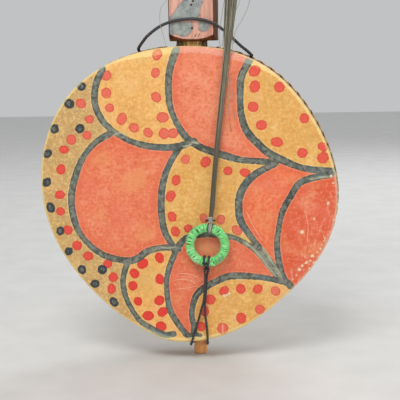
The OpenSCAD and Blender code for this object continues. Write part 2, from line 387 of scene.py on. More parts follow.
def outline_series():
    """The body's outline as radii about BODY_AT, a Fourier series fitted to the CAD skin's edge."""
    p = np.array([v.co for v in NODES["front_skin"].data.vertices]) / MM
    edge = p[np.abs(p[:, 1] - FRONT_Y) < 0.05][:, [0, 2]] - BODY_AT
    terms = series_terms(np.arctan2(edge[:, 1], edge[:, 0]))
    return np.linalg.lstsq(terms, np.linalg.norm(edge, axis=1), rcond=None)[0]


def series_terms(a):
    terms = [np.ones_like(a)]
    for k in range(1, OUTLINE_ORDER + 1):
        terms += [np.cos(k * a), np.sin(k * a)]
    return np.stack(terms, axis=-1)


OUTLINE = outline_series()


def rim_radius(a):
    return series_terms(np.asarray(a, float)) @ OUTLINE


def rim_point(a, out, y):
    """The point on the rim at angle a, out of the outline by that much."""
    a = np.asarray(a, float)
    r = rim_radius(a) + out
    return np.stack([BODY_AT[0] + r * np.cos(a), np.zeros_like(a) + y, BODY_AT[1] + r * np.sin(a)], axis=-1)


# ---------------------------------------------------------------- the painting on the front skin

# Each stroke is its width and its points in millimetres from the body's centre, right and up.
STROKES = {
    "A": (6.2, [
        (-81, 124), (-88, 109), (-90, 91), (-85, 76), (-75, 64), (-58, 53), (-40, 47), (-22, 45),
        (-7, 46), (9, 51),
    ]),
    "B": (6.6, [
        (-7, 141), (-13, 125), (-15.5, 108), (-14.5, 87), (-8.5, 70), (2, 54), (17, 44), (34, 38),
        (54, 32), (76, 30), (89, 28),
    ]),
    "C": (7.0, [
        (67, 133), (57, 114), (55.5, 97), (56, 79), (61, 61), (72, 48), (84, 37.5), (102, 28.5),
        (119, 22.5), (149, 19),
    ]),
    "D": (6.4, [
        (-72, 61), (-89, 52), (-103, 37), (-111.5, 19), (-117, -2), (-116.5, -20), (-111.5, -38),
        (-101.5, -52), (-86, -64), (-66, -69.5), (-53, -68.5), (-40, -60), (-24, -56.5), (-9, -58),
    ]),
    "E": (6.4, [
        (-5, 46), (-15.3, 30), (-22.3, 13), (-25.4, -5), (-25.4, -25), (-22.4, -41), (-14, -56),
    ]),
    "F": (7.0, [
        (88, 27), (71, 18.5), (60, 8.5), (53.3, -5), (52.3, -18), (54.6, -31), (64.5, -46.5),
        (74.5, -60), (87, -78), (96, -89),
    ]),
    "G": (6.0, [
        (144, 16), (127, 13.5), (113, 8), (104, -5), (95.5, -21), (91.6, -39), (90, -54), (92, -73),
        (96, -87), (103, -96),
    ]),
    "H": (5.8, [
        (-12, -60), (-2, -47.5), (18, -43), (43, -45.5), (56, -51), (68.6, -59.4), (81, -74), (92, -87),
    ]),
    "I": (5.8, [
        (-61, -70), (-66.4, -86), (-66, -102), (-60.5, -117), (-50, -133), (-36, -142), (-28, -146),
        (-22, -147), (-16.5, -146),
    ]),
    "J": (5.8, [
        (-12, -60), (-19.4, -78), (-22.4, -93), (-21.2, -112), (-18.6, -123), (-12.4, -134),
        (-5.2, -144), (-2, -147.5),
    ]),
    "K": (6.4, [
        (101, -93), (83, -88.5), (63, -86), (42, -86), (27, -92), (16.6, -97.5), (8.2, -105),
        (3.8, -117), (2.8, -128), (4.8, -138), (4.4, -146),
    ]),
    "L": (4.6, [
        (-5.5, -146), (0, -147.5), (6, -146.3), (11, -147.2),
    ]),
}
# Where the slate is thick or thin: X, Z, reach and how much darker, or lighter below zero.
SHADES = [
    (-7, 138, 11, -0.9), (-15, 112, 14, -0.4), (-10, 72, 9, -0.6), (17, 45, 14, 0.7), (57, 110, 15, -0.4),
    (58, 62, 16, 0.6),
    (76, 42, 12, 0.6), (110, 25, 12, 0.5), (134, 14, 10, -0.2), (-72, 60, 8, -0.8), (-104, -46, 14, -0.3),
    (-60, -70, 16, -0.3),
    (-32, -57, 10, -0.8), (-4, 40, 12, 0.5), (0, 47, 14, 0.3), (66, 15, 14, 0.6), (80, -68, 14, -0.5),
    (104, -6, 11, 0.9),
    (91, -78, 9, 0.5), (55, -50, 12, -0.9), (35, -44, 9, -0.6), (10, -44, 10, 0.9), (72, -64, 12, -0.5),
    (-46, -138, 10, -0.6),
    (14, -99, 10, 0.9), (34, -88, 9, 0.3), (-2, -146, 8, 0.5), (-24, -146, 8, 0.3), (-88, 100, 16, -0.1),
]
BLACK_DOTS = [
    (-103, 107), (-116, 90), (-132, 65), (-106, 65), (-140, 40), (-142, 11), (-139, -15), (-130, -39),
    (-122, -60), (-109, -79), (-88, -79), (-96, -94), (-77, -113),
]
# Each group of red dots is its radius, its tone, from strong to thin, and its points.
RED_DOTS = [
    (4.7, 0.75, [(-104, 90), (-96, 74), (-99, 58), (-115, 54)]),
    (4.7, 0.3, [(-123, 44), (-127, 24), (-129, -2), (-129, -19), (-122, -38), (-113, -54), (-102, -65),
                (-82, -73),
           (-77, -87), (-79, -99)]),
    (5.2, 0.8, [(-77, 117), (-78, 100), (-75, 85), (-63, 74), (-51, 65), (-37, 60), (-21, 59), (-12, 59),
           (-26, 137), (-28, 119), (-28, 95), (-22, 75)]),
    (5.3, 0.45, [(70, 119), (70, 104), (68, 84), (76, 66), (91, 49), (116, 38), (136, 33), (136, 44),
                 (118, 72), (94, 103)]),
    (5.0, 0.4, [(20, 30), (42, 21), (59, 19), (-10, 12), (-16, -4), (-15, -25), (-12, -40), (1, -37)]),
    (5.0, 0.95, [(0, 33), (17, -27), (34, -28), (50, -39), (88, -101)]),
    (5.1, 0.1, [(-46, -73), (-55, -83), (-57, -96), (-52, -112), (-42, -127), (-29, -67), (-29, -89),
                (-30, -111),
           (-27, -123), (-29, -138)]),
    (5.4, 0.35, [(22, -110), (36, -101), (53, -99), (70, -99), (53, -129), (16, -122), (12, -138)]),
    (5.4, 0.7, [(72, -120), (34, -140)]),
]
# Painted highlights, pale streaks over the slate strokes, and scratches: half width, then points.
GLEAMS = [
    (1.5, [(76, -58), (81, -65), (85, -72), (89, -78), (93, -85)]),
    (1.1, [(59, -52), (67, -59), (75, -69), (82, -78), (88, -85)]),
    (1.2, [(124, 12), (132, 13.5), (144, 14.5)]),
    (1.4, [(-1, 46), (4, 47), (8, 50), (12, 49)]),
    (1.0, [(-72, 58), (-66, 60), (-60, 58)]),
    (0.8, [(-13, -56), (-20, -57), (-26, -56)]),
]
SCRATCHES = [
    (0.35, [(-13, -90), (-4, -89), (6, -92)]), (0.3, [(-11, -99), (0, -98), (8, -96)]), (0.3, [(-9, -83),
                                                                                               (2, -84),
                                                                                               (9, -87)]),
    (0.7, [(34, -137), (34, -143)]), (0.3, [(60, -20), (66, -34), (74, -47)]), (0.3, [(118, -20),
                                                                                      (121, -34),
                                                                                      (120, -50)]),
]
# Flakes where the paint has gone: X, Z and radius from the body's centre.
FLAKES = [
    (36, -106, 1.7), (38.5, -105.4, 1.2), (41, -104, 1.5), (133, -58, 1.4), (130, -61, 1.1),
    (125, -65, 1.9), (123, -70, 1.4),
    (119, -72, 1.7), (115, -75, 1.5), (112, -79, 1.9), (109, -85, 1.3), (127, -72, 1.6), (131, -66, 1.2),
    (122, -78, 1.4),
    (127, -28, 1.3), (115, -41, 2.2), (141, -12, 1.7), (135, -54, 1.2), (118, -66, 0.9), (105, -89, 1.2),
    (137, -50, 1.0),
    (144, 15, 1.6), (146, 8, 1.2), (-108, 84, 0.9), (-131, -27, 1.0),
]
YELLOW = rgb(240, 178, 101)
OCHRE = rgb(228, 168, 88)
TAN = rgb(206, 168, 112)
ORANGE = rgb(238, 138, 102)
ORANGE_MIDDLE = rgb(235, 126, 88)
ORANGE_DEEP = rgb(239, 120, 76)
SALMON = rgb(231, 124, 88)
RED_ORANGE = rgb(222, 92, 58)
SLATE_DARK = rgb(50, 56, 48)
# painted shade in the slits that the thongs go through
SLIT_SHADE = rgb(46, 30, 18)


def drawn(name, back=False):
    line = smooth_line(STROKES[name][1], 8)
    return line[::-1] if back else line


def fields():
    """(colour, closed outline) of each painted field; what no outline holds is yellow."""
    out = np.array
    return [
        (TAN, np.concatenate([drawn("A")[:41], drawn("D")[:73], drawn("I"), out([(-40, -175), (-190, -120),
                                                                        (-190, 120), (-90, 175)])])),
        (ORANGE, np.concatenate([drawn("B"), drawn("C", True)[32:], out([(60, 170), (0, 170)])])),
        (ORANGE_MIDDLE, np.concatenate([drawn("D"), drawn("E", True), drawn("A", True)[16:48]])),
        (ORANGE_DEEP, np.concatenate([drawn("F"), drawn("G", True), out([(119, 22), (102, 28)])])),
        (RED_ORANGE, np.concatenate([drawn("G"), out([(110, -130), (190, -100), (190, 18)])])),
        (SALMON, np.concatenate([drawn("J"), drawn("K", True), drawn("H", True)])),
    ]


def inside(p, ring):
    """Whether each point lies in the closed outline."""
    hit = np.zeros(len(p), bool)
    for (x0, y0), (x1, y1) in zip(ring, np.roll(ring, -1, axis=0)):
        spans = (y0 > p[:, 1]) != (y1 > p[:, 1])
        if y0 != y1:
            hit ^= spans & (p[:, 0] < (x1 - x0) * (p[:, 1] - y0) / (y1 - y0) + x0)
    return hit


def line_distance(p, line):
    """For each point its distance from the line, how far along that is, and on which side it lies."""
    best = np.full(len(p), np.inf)
    along = np.zeros(len(p))
    side = np.ones(len(p))
    walked = 0.0
    for a, b in zip(line[:-1], line[1:]):
        d = b - a
        length = math.hypot(*d)
        t = np.clip((p - a) @ d / length**2, 0, 1)
        off = p - a - t[:, None] * d
        gap = np.hypot(off[:, 0], off[:, 1])
        near = gap < best
        best[near] = gap[near]
        along[near] = walked + t[near] * length
        side[near] = np.sign(d[0] * off[near, 1] - d[1] * off[near, 0])
        walked += length
    return best, along, side


def dot_distance(p, dots, seed):
    """Distance from the nearest dot's edge, and that dot's tone. Each dot is X, Z, radius and tone."""
    draw = np.random.default_rng(seed)
    best = np.full(len(p), np.inf)
    tone = np.zeros(len(p))
    for x, z, radius, own_tone in dots:
        r = radius * draw.uniform(0.9, 1.12)
        lean = draw.uniform(0, math.pi)
        long = draw.uniform(1.0, 1.14)
        dx, dz = p[:, 0] - x, p[:, 1] - z
        u = (dx * math.cos(lean) + dz * math.sin(lean)) / long
        v = (-dx * math.sin(lean) + dz * math.cos(lean)) * long
        gap = np.hypot(u, v) - r
        near = gap < best
        best[near] = gap[near]
        tone[near] = own_tone
    return best, tone


def mark_fields(p, marks):
    """Across the nearest mark, in half widths, and how near it is, for marks too thin for the mesh."""
    best = np.full(len(p), np.inf)
    across = np.full(len(p), 9.0)
    for half, points in marks:
        distance, _, side = line_distance(p, smooth_line(points, 6))
        near = distance < best
        best[near] = distance[near]
        across[near] = (side * distance / half)[near]
    return np.clip(across, -9, 9), np.clip(1 - (best - 2.0) / 1.5, 0, 1)


def rim_highlight_width(a):
    """How wide the painted highlight is where the skin turns over the rim at angle a: widest at the top."""
    top = rise(a, 52, 68) * rise(a, 120, 104)
    foot = rise(a, -62, -86) * rise(a, -118, -102)
    return 2.4 + 5.2 * top + 3.4 * foot


def rim_bulge(a):
    """The skin's turned edge stands out a little at the lower left, as far as this."""
    return 2.3 * np.exp(-((in_degrees(a) + 98) / 9) ** 2)


def turn_radius(a):
    """Radius of the front skin where it turns over the hoop: rounder at the top."""
    return RIM_ROUND + RIM_ROUND_TOP * rise(a, 48, 66) * rise(a, 140, 122)


def rise(a, start, end):
    """0 at the angle start and 1 at end, in degrees from -180 to 180."""
    return fade(in_degrees(a), start, end)


def in_degrees(a):
    """The angle in degrees from -180 to 180."""
    return np.degrees(np.arctan2(np.sin(a), np.cos(a)))


def paint_attributes(points):
    """The painting at each point of the front skin, as numbers that its material reads."""
    p = np.asarray(points)[:, [0, 2]] - BODY_AT
    gap = np.full(len(p), np.inf)
    across = np.zeros(len(p))
    along = np.zeros(len(p))
    for k, (name, (width, _)) in enumerate(STROKES.items()):
        line = drawn(name)
        distance, at, side = line_distance(p, line)
        half = width / 2 * (1.04 + 0.1 * np.sin(at / 17 + k) + 0.04 * np.sin(at / 7.3 + 2 * k))
        near = distance - half < gap
        gap[near] = (distance - half)[near]
        across[near] = (side * distance / half)[near]
        along[near] = (at + 400 * k)[near]
    ground = np.tile(YELLOW, (len(p), 1))
    ground[(p[:, 0] > -6) | ((p[:, 0] > -30) & (np.abs(p[:, 1] + 7) < 55))] = OCHRE
    warm = np.zeros(len(p))
    tan = np.zeros(len(p))
    for colour, ring in fields():
        held = inside(p, ring)
        ground[held] = colour
        warm[held] = 0.0 if colour is TAN else 1.0
        tan[held] = 1.0 if colour is TAN else 0.0
    red, tone = dot_distance(p, [(x, z, r, t) for r, t, dots in RED_DOTS for x, z in dots], 5)
    black, _ = dot_distance(p, [(x, z, 4.8, 0.0) for x, z in BLACK_DOTS], 8)
    flake = np.full(len(p), 9.0)
    for x, z, r in FLAKES:
        flake = np.minimum(flake, np.hypot(p[:, 0] - x, p[:, 1] - z) - r)
    gleam, gleam_near = mark_fields(p, GLEAMS)
    scratch, scratch_near = mark_fields(p, SCRATCHES)
    shade = np.zeros(len(p))
    for x, z, reach, amount in SHADES:
        shade += amount * np.exp(-((p[:, 0] - x) ** 2 + (p[:, 1] - z) ** 2) / reach**2)
    # painted light inside the tail ring: the skin is brightened where the ring's shadow falls
    lit = np.exp(-(np.hypot(*(p - RING_AT[[0, 2]] + BODY_AT).T) / 13) ** 4)
    angle = np.arctan2(p[:, 1], p[:, 0])
    edge = rim_radius(angle) + rim_bulge(angle) - np.hypot(p[:, 0], p[:, 1])
    flecked = rise(angle, 8, -14) * rise(angle, -52, -36) * np.clip(1 - edge / 20, 0, 1)
    return dict(
        ground=ground, warm=warm, tan=tan, line_gap=np.clip(gap, -6, 12), line_across=np.clip(across, -3, 3),
        line_along=along, shade=np.clip(shade, -1, 1), red_gap=np.clip(red, -6, 12), dot_tone=tone,
        black_gap=np.clip(black, -6, 12),
        edge_gap=np.clip(edge, -5, 60), band=np.clip(1 - edge / rim_highlight_width(angle), -1, 1), flake_gap=flake,
        lit=lit, flecked=flecked, gleam=gleam, gleam_near=gleam_near,
        scratch=scratch, scratch_near=scratch_near,
    )


def painted_skin_look():
    look = Look("painted_skin", 0.62, Specular_IOR_Level=0.3)
    brush = look.noise(1.0, 6, 0.68, 0.9, look.stretched((0.13, 0.3, 0.34), (0, 32, 0)))
    cross = look.noise(1.0, 5, 0.66, 0.5, look.stretched((0.42, 0.3, 0.1), (0, -24, 0)))
    cloud = look.noise(0.045, 4, 0.6, 0.9)
    tint = look.noise(0.03, 3, 0.6, 0.4)
    patchy = look.noise(0.2, 4, 0.66, 0.8)
    speck = look.noise(0.33, 4, 0.6)
    fine = look.noise(0.9, 5, 0.68)
    grain = look.noise(2.2, 3, 0.6)
    warm, tan = look.attribute("warm"), look.attribute("tan")

    def by_warmth(cool_colour, warm_colour):
        return look.layers(cool_colour, (warm, warm_colour))

    light = by_warmth(rgb(247, 208, 138), rgb(244, 162, 126))
    dark = by_warmth(rgb(206, 146, 74), rgb(216, 88, 54))
    gap = look.attribute("line_gap")
    ragged = gap.jitter(speck, 1.5)
    ground = look.layers(
        look.attribute("ground", "Color"),
        # paint laid on unevenly: clouds, then brush marks two ways, then dirt, redder beside the strokes
        (cloud.step(0.48, 0.74) * 0.55, light),
        (cloud.step(0.48, 0.26) * 0.5, dark),
        (brush.step(0.5, 0.72) * 0.5, light),
        (brush.step(0.48, 0.3) * 0.5, dark),
        (cross.step(0.54, 0.74) * 0.34, light),
        (speck.step(0.5, 0.66) * 0.42, light),
        (speck.step(0.5, 0.34) * 0.42, dark),
        # painted light inside the tail ring, over the shadow that the ring casts on the skin
        (look.attribute("lit") * 0.7, rgb(255, 158, 122)),
        (tint.step(0.52, 0.7) * 0.5, by_warmth(rgb(214, 170, 98), rgb(236, 158, 104))),
        (tint.step(0.48, 0.3) * 0.5, by_warmth(rgb(236, 182, 124), rgb(230, 112, 88))),
        (warm * gap.jitter(brush, 7.0).step(9.0, 2.0) * 0.4, rgb(222, 96, 62)),
        (warm * fine.step(0.56, 0.72) * 0.3, rgb(228, 166, 92)),
        (grain.step(0.56, 0.74) * 0.2, dark),
        # the crescent is dirtier: brown, greenish and straw specks
        (tan * fine.step(0.5, 0.62) * 0.5, rgb(150, 116, 76)),
        (tan * grain.step(0.54, 0.64) * 0.45, rgb(138, 128, 84)),
        (tan * speck.step(0.52, 0.64) * 0.5, rgb(232, 196, 120)),
        # a thin pale line between the fields and the strokes
        (ragged.step(1.25, 0.4) * cross.step(0.36, 0.56) * 0.6,
         by_warmth(rgb(246, 212, 142), rgb(244, 168, 130))),
    )
    # red dots, darker at the edge, and black dots with a painted glint in the middle
    red = look.attribute("red_gap").jitter(speck, 1.5)
    tone = look.attribute("dot_tone")
    red_paint = look.layers(
        rgb(226, 48, 38),
        (tone, rgb(230, 112, 92)),
        (fine.step(0.46, 0.7) * 0.4, rgb(240, 120, 106)),
        (red.step(-1.7, -0.6) * 0.45, rgb(196, 48, 40)),
    )
    red_in = red.step(0.35, -0.35) * (1.0 - tone * fine.step(0.5, 0.66) * 0.55)
    black = look.attribute("black_gap").jitter(speck, 2.0)
    black_paint = look.layers(
        rgb(46, 54, 58),
        (fine.step(0.48, 0.62) * 0.5, rgb(112, 116, 112)),
        # painted glint in the middle of each black dot
        (black.step(-2.0, -3.0) * cross.step(0.44, 0.56) * 0.4, rgb(160, 158, 140)),
    )
    black_in = black.step(0.4, -0.35)
    ground = look.layers(ground, (red_in, red_paint), (black_in, black_paint))
    # slate strokes: dark edges, a lighter brushed middle of worn paint and painted sheen, and the ground
    # seen through at the edges
    across = look.attribute("line_across")
    lane = look.node("CombineXYZ", {0: look.attribute("line_along") * 0.05, 1: across * 1.5})
    bristle = look.noise(1.6, 5, 0.65, at=lane)
    off = abs(across.jitter(bristle, 1.3))
    thin = (look.attribute("shade") * -0.5).jitter(bristle, 1.6)
    slate = look.layers(
        rgb(92, 98, 90),
        (off.step(0.9, 0.1) * 0.55, rgb(132, 134, 118)),
        (thin.step(0.05, 0.6) * 0.75, rgb(158, 156, 132)),
        (thin.step(-0.02, -0.55) * 0.8, SLATE_DARK),
        (off.step(0.6, 1.0) * 0.55, SLATE_DARK),
        (patchy.step(0.5, 0.64) * 0.6, rgb(152, 154, 140)),
        (patchy.step(0.5, 0.36) * 0.65, rgb(46, 52, 52)),
        (cloud.step(0.5, 0.66) * 0.4, rgb(84, 106, 114)),
        (cross.step(0.56, 0.7) * 0.3, rgb(112, 100, 106)),
        (fine.step(0.56, 0.66) * off.step(0.55, 1.0) * 0.4, ground),
    )
    stroke_in = ragged.step(0.35, -0.3)
    # painted highlights: pale streaks over the slate strokes
    painted_gleam = look.attribute("gleam_near") * bristle.jitter(fine, 0.5).step(0.34, 0.52)
    # where the skin turns over the rim: a painted highlight, paler paint over the fields and the strokes
    rim_highlight_paint = look.layers(
        by_warmth(rgb(246, 220, 146), rgb(236, 160, 140)),
        (fine.step(0.5, 0.66) * 0.5, rgb(248, 232, 176)),
        (stroke_in, rgb(164, 172, 152)),
    )
    marked = red_in.calc("MAXIMUM", black_in)
    band = look.attribute("band").jitter(speck, 0.35).step(0.0, 0.22) * (0.7 - marked * 0.45)
    # wear: scratches, flakes and a rubbed rim, then the bare lap and painted shade in its slits
    nick = look.attribute("scratch_near") * abs(look.attribute("scratch")).step(1.3, 0.6)
    flake = look.attribute("flake_gap").jitter(fine, 3.2).jitter(speck, 2.0).step(0.15, -0.25)
    worn = look.attribute("edge_gap").jitter(speck, 3.6)
    bare = look.layers(cloud.ramp((0.3, rgb(208, 168, 108)), (0.7, rgb(234, 202, 142))),
                       (fine.step(0.52, 0.7) * 0.35, rgb(170, 126, 76)))
    ground = look.layers(
        ground,
        (stroke_in, slate),
        (painted_gleam * abs(look.attribute("gleam")).step(1.15, 0.6) * 0.8, rgb(182, 184, 156)),
        # painted highlight where the skin turns over the rim
        (band, rim_highlight_paint),
        (nick * 0.55, rgb(246, 206, 176)),
        (flake * 0.8, rgb(244, 222, 186)),
        (worn.step(1.5, -0.3) * 0.8, rgb(240, 214, 146)),
        (worn.step(3.6, 1.6) * fine.step(0.58, 0.64) * 0.7, rgb(246, 228, 190)),
        (cross.jitter(grain, 0.7).step(0.58, 0.64) * look.attribute("flecked") * 0.75, rgb(246, 226, 196)),
        (look.split()[1].jitter(speck, 6.0).step(FRONT_Y + 7.0, FRONT_Y + 9.5), bare),
        # painted shade in the lacing slits
        (look.attribute("hole_gap").jitter(fine, 0.8).step(0.3, -0.2) * 0.9, SLIT_SHADE),
    )
    rough = look.node("MapRange", {"Value": brush, "To Min": 0.5, "To Max": 0.78})
    look.put(look.shader.inputs["Roughness"], rough)
    look.finish(ground, fine * 0.4 + flake * -0.4 + (ragged.step(0.5, -0.5) * 0.35 + brush * 0.5), 0.35)


def plain_skin_look():
    look = Look("plain_skin", 0.55, Specular_IOR_Level=0.4)
    speck = look.noise(0.25, 5, 0.65)
    pores = look.node("TexVoronoi", {"Vector": look.at, "Scale": 0.9}, "Distance")
    colour = look.layers(
        look.noise(0.034, 5, 0.62, 0.15).ramp((0.26, rgb(184, 142, 92)), (0.5, rgb(206, 170, 118)),
                                              (0.74, rgb(222, 194, 146))),
        (speck.step(0.55, 0.75) * 0.5, rgb(140, 98, 58)),
        (pores.step(0.22, 0.08) * 0.35, rgb(110, 78, 46)),
        # painted shade in the slits that the thongs go through
        (look.attribute("hole_gap").jitter(speck, 0.8).step(0.3, -0.2) * 0.9, SLIT_SHADE),
    )
    look.finish(colour, speck * 0.6 + pores * 0.3, 0.4)


def skin_relief(x, z, edge):
    """How far a skin stands out of its plane: slow waves, and dips where the laces pull at the rim."""
    waves = 0.35 * np.sin(x / 41 + 1) * np.cos(z / 37) + 0.2 * np.sin(x / 19 - z / 23)
    angle = np.arctan2(z - BODY_AT[1], x - BODY_AT[0])
    pull = 0.28 * np.cos(angle / LACE_STEP * math.pi) * np.exp(-np.clip(edge, 0, None) / 7)
    return (waves + pull) * np.clip(edge / 12, 0, 1)


def rim_scallop(a):
    """The rim's edge between the laces, where they pull the hardest: at the upper right."""
    return (0.2 + rise(a, 14, 24) * rise(a, 72, 62)) * lace_arch(a)


def lace_arch(a):
    """High between the laces and low at them."""
    return np.abs(np.cos(a / (2 * LACE_STEP) * math.pi)) - 0.75


def skin_parts(front):
    """The face as rings of points, the turn over the hoop, and the lap with its lower edge turned in."""
    rings = 110 if front else 48
    a = circle(600)
    way = 1 if front else -1
    face_y = FRONT_Y if front else BACK_Y
    lap_y = face_y + way * LAP
    scallop = rim_scallop(a) if front else 0.4 * lace_arch(a)
    turn_r = turn_radius(a) if front else RIM_ROUND
    bulge = rim_bulge(a) if front else 0 * a
    whole = rim_radius(a) + bulge
    profiles = []
    for f in np.arange(1, rings + 1) / rings:
        r = f * (whole - turn_r)
        x = BODY_AT[0] + r * np.cos(a)
        z = BODY_AT[1] + r * np.sin(a)
        profiles.append(np.stack([x, face_y + way * (SKIN_GAP - skin_relief(x, z, whole - r)), z], axis=-1))
    for turn in np.radians([15, 30, 45, 60, 75, 90]):
        out = bulge + turn_r * (math.sin(turn) - 1) + scallop * math.sin(turn)
        profiles.append(rim_point(a, out, face_y + way * (SKIN_GAP + turn_r * (1 - math.cos(turn)))))
    wave = 1.3 * np.cos(a / LACE_STEP * math.pi)
    for share in (0.2, 0.4, 0.6, 0.8, 0.94, 1.0):
        start = face_y + way * (SKIN_GAP + turn_r)
        y = start + share * (lap_y - way * 0.8 * wave * share - start)
        out = scallop * (1 - share) + bulge * (1 - min(1.0, 1.4 * share)) - 0.25 * (share == 1.0)
        profiles.append(rim_point(a, out, y))
    for out, back in ((-SKIN_T + 0.1, 0.1), (-SKIN_T, 5.0)):
        profiles.append(rim_point(a, out, lap_y - way * (back + 0.8 * wave)))
    centre = [BODY_AT[0], profiles[0][:, 1].mean(), BODY_AT[1]]
    points = np.concatenate(profiles + [[centre]])
    faces = ring_faces(len(profiles), len(a))
    faces += [(len(points) - 1, (j + 1) % len(a), j) for j in range(len(a))]
    return points, faces if front else [f[::-1] for f in faces]


def hole_distance(p, front):
    """Distance from the edge of the nearest slit that a thong goes through."""
    angle = np.arctan2(p[:, 2] - BODY_AT[1], p[:, 0] - BODY_AT[0])
    gap = np.full(len(p), 9.0)
    slit_y = -LACE_REACH - 0.6 if front else LACE_REACH + 0.6
    for first, last, way in LACE_RUNS:
        for i in range(first, last + 2):
            if ((i % 2 == 0) == (way == 1)) == front:
                off = np.radians(in_degrees(angle - i * LACE_STEP)) * BODY_R
                gap = np.minimum(gap, np.hypot(off / 1.5, p[:, 1] - slit_y) - 0.9)
    return gap


def make_skins():
    front, back = skin_parts(True), skin_parts(False)
    add_parts("front_skin_painted", [front], "painted_skin", "front_skin",
              hole_gap=hole_distance(front[0], True), **paint_attributes(front[0]))
    add_parts("back_skin_bare", [back], "plain_skin", "back_skin", hole_gap=hole_distance(back[0], False))


# ---------------------------------------------------------------- wood, thong, hair and cord looks


def around_hoop(look):
    """Millimetres along the hoop from its scarf, depth, and millimetres of radius."""
    x, y, z = look.split()
    x -= BODY_AT[0]
    z -= BODY_AT[1]
    c, s = math.cos(math.radians(SCARF_ANGLE - 180)), math.sin(math.radians(SCARF_ANGLE - 180))
    u = x * c + z * s
    v = z * c - x * s
    return look.node("CombineXYZ", {0: v.calc("ARCTAN2", u) * BODY_R, 1: y, 2: (u * u + v * v).calc("SQRT")})


def upright(look):
    """Coordinates with Z first, for grain that runs up the neck."""
    x, y, z = look.split()
    return look.node("CombineXYZ", {0: z, 1: x, 2: y})


def sideways(look):
    return look.at


def wood_look(name, grain_at, dark, light, roughness=0.55):
    """Wood whose grain runs along the first axis of grain_at's coordinates."""
    look = Look(name, roughness, Specular_IOR_Level=0.35)
    look.at = grain_at(look)
    bands = look.noise(1.0, 6, 0.6, 0.5, look.stretched((0.012, 0.32, 0.32)))
    pores = look.noise(1.0, 4, 0.7, at=look.stretched((0.06, 1.6, 1.6)))
    colour = look.layers(
        bands.ramp((0.3, dark), (0.68, light)),
        (pores.step(0.56, 0.74) * 0.5, tuple(0.35 * c for c in dark)),
        (look.noise(0.05, 4, 0.6).step(0.5, 0.72) * 0.4, tuple(0.55 * c for c in dark)),
    )
    look.finish(colour, pores * 0.5 + bands, 0.25)


def painted_wood_look():
    look = Look("painted_wood", 0.6, Specular_IOR_Level=0.3)
    look.at = upright(look)
    bands = look.noise(1.0, 6, 0.6, 0.6, look.stretched((0.014, 0.3, 0.3)))
    pores = look.noise(1.0, 4, 0.7, at=look.stretched((0.05, 1.4, 1.4)))
    blot = look.noise(0.16, 5, 0.65, 0.4)
    fine = look.noise(0.9, 4, 0.6)
    foot_wood = look.layers(bands.ramp((0.3, rgb(224, 144, 84)), (0.7, rgb(250, 188, 118))),
                            (blot.step(0.5, 0.7) * 0.45, rgb(170, 104, 84)))
    wood = look.layers(
        bands.ramp((0.3, rgb(74, 44, 26)), (0.7, rgb(128, 82, 48))),
        (pores.step(0.55, 0.72) * 0.6, rgb(34, 20, 12)),
        (look.attribute("foot"), foot_wood),
        (look.attribute("cut") * 0.85, look.layers(rgb(66, 26, 20),
                                                   (blot.step(0.4, 0.6), rgb(118, 58, 40)))),
    )
    edge = look.attribute("blue_gap").jitter(fine, 2.4).jitter(blot, 5.0)
    blue = blot.ramp((0.3, rgb(108, 116, 116)), (0.5, rgb(148, 154, 152)), (0.7, rgb(178, 180, 174)))
    paint = look.layers(
        bands.ramp((0.3, rgb(198, 140, 124)), (0.52, rgb(218, 165, 146)), (0.72, rgb(232, 188, 168))),
        (blot.step(0.52, 0.7) * 0.4, rgb(206, 122, 104)),
        (edge.step(1.0, -0.8), blue),
        (abs(edge).step(1.1, 0.1) * 0.35, rgb(120, 100, 96)),
        (look.attribute("mark_gap").jitter(fine, 0.6).step(0.25, -0.1), rgb(48, 34, 34)),
        (pores.step(0.6, 0.74) * 0.55, rgb(120, 76, 62)),
    )
    painted = look.attribute("painted").jitter(fine, 0.5) - blot.step(0.66, 0.8) * 0.5
    look.finish(look.layers(wood, (painted.step(0.42, 0.58), paint)), pores * 0.6 + bands, 0.35)


def thong_look():
    look = Look("thong", 0.62)
    speck = look.noise(1.3, 4, 0.6)
    colour = look.layers(look.noise(0.11, 4, 0.6).ramp((0.3, rgb(140, 100, 60)), (0.7, rgb(206, 168, 116))),
                         (speck.step(0.5, 0.7) * 0.45, rgb(92, 62, 38)))
    look.finish(colour, speck, 0.2)


def hide_look():
    look = Look("hide_collar", 0.6)
    folds = look.noise(1.0, 4, 0.6, 0.8, look.stretched((0.5, 0.5, 0.12)))
    colour = look.layers(
        folds.ramp((0.34, rgb(140, 98, 44)), (0.52, rgb(224, 178, 98)), (0.7, rgb(248, 214, 140))),
        (look.noise(0.8, 4, 0.6).step(0.55, 0.7) * 0.5, rgb(70, 44, 22)),
        (look.attribute("stain").jitter(folds, 1.3).step(0.4, 0.6) * 0.85, rgb(50, 34, 22)),
    )
    look.finish(colour, folds, 0.6)


def hair_look():
    look = Look("horsehair", 0.42, Specular_IOR_Level=0.5)
    along = look.noise(1.0, 3, 0.6, at=look.stretched((0.4, 0.4, 0.03)))
    tones = look.attribute("tone").ramp((0.0, rgb(52, 46, 38)), (0.35, rgb(98, 92, 76)),
                                        (0.75, rgb(140, 136, 114)), (1.0, rgb(178, 176, 156)))
    look.finish(look.layers(tones, (along.step(0.5, 0.7) * 0.4, rgb(78, 70, 56))))


def twine_look(name, dark, light, roughness=0.6):
    look = Look(name, roughness, Specular_IOR_Level=0.4)
    speck = look.noise(1.2, 4, 0.65)
    cloud = look.noise(0.12, 3, 0.6)
    colour = look.layers(speck.ramp((0.36, dark), (0.66, light)), (cloud.step(0.5, 0.7) * 0.35, dark))
    look.finish(colour, speck, 0.2)


